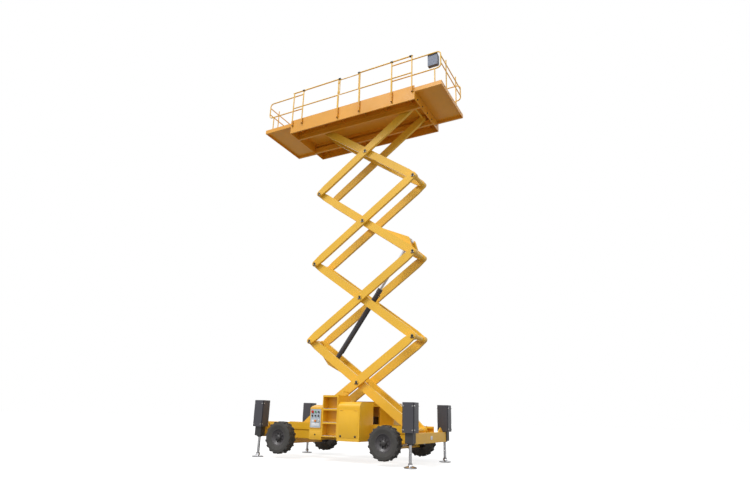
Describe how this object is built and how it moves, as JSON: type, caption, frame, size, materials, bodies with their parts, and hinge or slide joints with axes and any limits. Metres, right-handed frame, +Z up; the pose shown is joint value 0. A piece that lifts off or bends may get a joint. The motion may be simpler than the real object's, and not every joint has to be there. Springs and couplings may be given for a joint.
{
  "type": "scissor lift",
  "caption": "Self-propelled scissor lift on stabiliser jacks, with a stacked scissor linkage, a lift cylinder and a railed platform with roll-out decks.",
  "frame": {"origin": "on the ground, below the middle of the machine's overall length and width", "axes": "+X towards the steered end, +Z up, near side with the control box towards -Y"},
  "size_m": [6.11, 2.47, 10.9698],
  "materials": {
    "chassis_yellow": "gloss paint",
    "arm_yellow": "gloss paint, faded",
    "deck_yellow": "gloss paint",
    "rail_yellow": "gloss paint",
    "dark_grey": "satin paint",
    "black": "satin paint",
    "chrome": "polished",
    "tyre": "matt",
    "rim_grey": "satin paint",
    "panel_blue_grey": "satin",
    "console_blue": "satin",
    "engine": "rough"
  },
  "bodies": {
    "chassis": {"side_rails": "chassis_yellow", "cross_members": "chassis_yellow", "scissor_feet": "chassis_yellow", "end_beams": "chassis_yellow", "front_axle": "chassis_yellow", "rear_axle": "chassis_yellow", "steering_cylinder": "black", "jack_tubes": "black", "jack_covers": "dark_grey", "control_box": "chassis_yellow", "control_panel": "panel_blue_grey", "step_ladder": "chassis_yellow", "tank_cover": "chassis_yellow", "engine_cover": "chassis_yellow", "engine_block": "engine", "hydraulic_tank": "chassis_yellow"},
    "knuckle_near": {"knuckle_near": "black"},
    "knuckle_far": {"knuckle_far": "black"},
    "tie_rod": {"tie_rod": "chrome"},
    "wheel_front_near": {"tyre_front_near": "tyre", "rim_front_near": "rim_grey"},
    "jack_front_near": {"jack_leg_front_near": "chrome"},
    "wheel_front_far": {"tyre_front_far": "tyre", "rim_front_far": "rim_grey"},
    "jack_front_far": {"jack_leg_front_far": "chrome"},
    "wheel_rear_near": {"tyre_rear_near": "tyre", "rim_rear_near": "rim_grey"},
    "jack_rear_near": {"jack_leg_rear_near": "chrome"},
    "wheel_rear_far": {"tyre_rear_far": "tyre", "rim_rear_far": "rim_grey"},
    "jack_rear_far": {"jack_leg_rear_far": "chrome"},
    "inner_1": {"inner_arms_1": "arm_yellow"},
    "outer_1": {"outer_arms_1": "arm_yellow"},
    "inner_2": {"inner_arms_2": "arm_yellow"},
    "outer_2": {"outer_arms_2": "arm_yellow"},
    "inner_3": {"inner_arms_3": "arm_yellow"},
    "outer_3": {"outer_arms_3": "arm_yellow"},
    "inner_4": {"inner_arms_4": "arm_yellow"},
    "outer_4": {"outer_arms_4": "arm_yellow"},
    "lift_barrel": {"lift_barrel": "dark_grey"},
    "lift_rod": {"lift_rod": "chrome"},
    "platform": {"deck_frame": "deck_yellow", "guardrail_far_left": "rail_yellow", "guardrail_far_right": "rail_yellow", "guardrail_near_left": "rail_yellow", "guardrail_near_right": "rail_yellow"},
    "gate": {"entry_gate": "rail_yellow"},
    "extension_left": {"extension_deck_left": "deck_yellow", "extension_rails_left": "rail_yellow"},
    "extension_right": {"extension_deck_right": "deck_yellow", "extension_rails_right": "rail_yellow", "platform_console": "console_blue"}
  },
  "joints": [
    {"name": "scissor_lift", "type": "hinge", "parent": "chassis", "child": "inner_1", "pos_m": [1.975, 0, 0.765], "axis": [0, 1, 0], "range_deg": [-31.95, 0]},
    {"name": "centre_pins_1", "type": "hinge", "parent": "inner_1", "child": "outer_1", "pos_m": [0.41986, 0, 1.88248], "axis": [0, 1, 0], "range_deg": [0, 63.9]},
    {"name": "end_pins_1", "type": "hinge", "parent": "outer_1", "child": "inner_2", "pos_m": [1.975, 0, 2.99996], "axis": [0, 1, 0], "range_deg": [-63.9, 0]},
    {"name": "centre_pins_2", "type": "hinge", "parent": "inner_2", "child": "outer_2", "pos_m": [0.41986, 0, 4.11744], "axis": [0, 1, 0], "range_deg": [0, 63.9]},
    {"name": "end_pins_2", "type": "hinge", "parent": "outer_2", "child": "inner_3", "pos_m": [1.975, 0, 5.23493], "axis": [0, 1, 0], "range_deg": [-63.9, 0]},
    {"name": "centre_pins_3", "type": "hinge", "parent": "inner_3", "child": "outer_3", "pos_m": [0.41986, 0, 6.35241], "axis": [0, 1, 0], "range_deg": [0, 63.9]},
    {"name": "end_pins_3", "type": "hinge", "parent": "outer_3", "child": "inner_4", "pos_m": [1.975, 0, 7.46989], "axis": [0, 1, 0], "range_deg": [-63.9, 0]},
    {"name": "centre_pins_4", "type": "hinge", "parent": "inner_4", "child": "outer_4", "pos_m": [0.41986, 0, 8.58737], "axis": [0, 1, 0], "range_deg": [0, 63.9]},
    {"name": "deck_pin", "type": "hinge", "parent": "outer_4", "child": "platform", "pos_m": [1.975, 0, 9.70485], "axis": [0, 1, 0], "range_deg": [-31.95, 0]},
    {"name": "lift_barrel_foot", "type": "hinge", "parent": "inner_1", "child": "lift_barrel", "pos_m": [-0.54295, 0, 2.40193], "axis": [0, 1, 0], "range_deg": [0, 73.49]},
    {"name": "lift_rod_slide", "type": "slide", "parent": "lift_barrel", "child": "lift_rod", "axis": [0.5726, 0, 0.8198], "range_m": [-1.3188, 0]},
    {"name": "steer_near", "type": "hinge", "parent": "chassis", "child": "knuckle_near", "pos_m": [1.595, -0.84, 0.4875], "axis": [0, 0, 1], "range_deg": [-28, 28]},
    {"name": "steer_far", "type": "hinge", "parent": "chassis", "child": "knuckle_far", "pos_m": [1.595, 0.84, 0.4875], "axis": [0, 0, 1], "range_deg": [-28, 28]},
    {"name": "tie_rod_slide", "type": "slide", "parent": "chassis", "child": "tie_rod", "axis": [0, 1, 0], "range_m": [-0.0955, 0.0955]},
    {"name": "spin_front_near", "type": "hinge", "parent": "knuckle_near", "child": "wheel_front_near", "pos_m": [1.595, -1.05, 0.4875], "axis": [0, 1, 0], "continuous": true},
    {"name": "jack_slide_front_near", "type": "slide", "parent": "chassis", "child": "jack_front_near", "axis": [0, 0, 1], "range_m": [-0.1, 0.3]},
    {"name": "spin_front_far", "type": "hinge", "parent": "knuckle_far", "child": "wheel_front_far", "pos_m": [1.595, 1.05, 0.4875], "axis": [0, 1, 0], "continuous": true},
    {"name": "jack_slide_front_far", "type": "slide", "parent": "chassis", "child": "jack_front_far", "axis": [0, 0, 1], "range_m": [-0.1, 0.3]},
    {"name": "spin_rear_near", "type": "hinge", "parent": "chassis", "child": "wheel_rear_near", "pos_m": [-1.365, -1.05, 0.4875], "axis": [0, 1, 0], "continuous": true},
    {"name": "jack_slide_rear_near", "type": "slide", "parent": "chassis", "child": "jack_rear_near", "axis": [0, 0, 1], "range_m": [-0.1, 0.3]},
    {"name": "spin_rear_far", "type": "hinge", "parent": "chassis", "child": "wheel_rear_far", "pos_m": [-1.365, 1.05, 0.4875], "axis": [0, 1, 0], "continuous": true},
    {"name": "jack_slide_rear_far", "type": "slide", "parent": "chassis", "child": "jack_rear_far", "axis": [0, 0, 1], "range_m": [-0.1, 0.3]},
    {"name": "gate_hinge", "type": "hinge", "parent": "platform", "child": "gate", "pos_m": [-0.275, -0.9733, 10.4], "axis": [0, 0, 1], "range_deg": [0, 90]},
    {"name": "roll_out_left", "type": "slide", "parent": "platform", "child": "extension_left", "axis": [1, 0, 0], "range_m": [0, 1.015]},
    {"name": "roll_out_right", "type": "slide", "parent": "platform", "child": "extension_right", "axis": [-1, 0, 0], "range_m": [0, 0.785]}
  ],
  "couplings": [
    {"joint": "centre_pins_1", "follows": "scissor_lift", "ratio": -2},
    {"joint": "end_pins_1", "follows": "scissor_lift", "ratio": 2},
    {"joint": "centre_pins_2", "follows": "scissor_lift", "ratio": -2},
    {"joint": "end_pins_2", "follows": "scissor_lift", "ratio": 2},
    {"joint": "centre_pins_3", "follows": "scissor_lift", "ratio": -2},
    {"joint": "end_pins_3", "follows": "scissor_lift", "ratio": 2},
    {"joint": "centre_pins_4", "follows": "scissor_lift", "ratio": -2},
    {"joint": "deck_pin", "follows": "scissor_lift", "ratio": 1},
    {"joint": "lift_barrel_foot", "follows": "scissor_lift", "ratio": -2.3001},
    {"joint": "lift_rod_slide", "follows": "scissor_lift", "m_per_rad": 2.3649},
    {"joint": "steer_far", "follows": "steer_near", "ratio": 1},
    {"joint": "tie_rod_slide", "follows": "steer_near", "m_per_rad": 0.195}
  ]
}
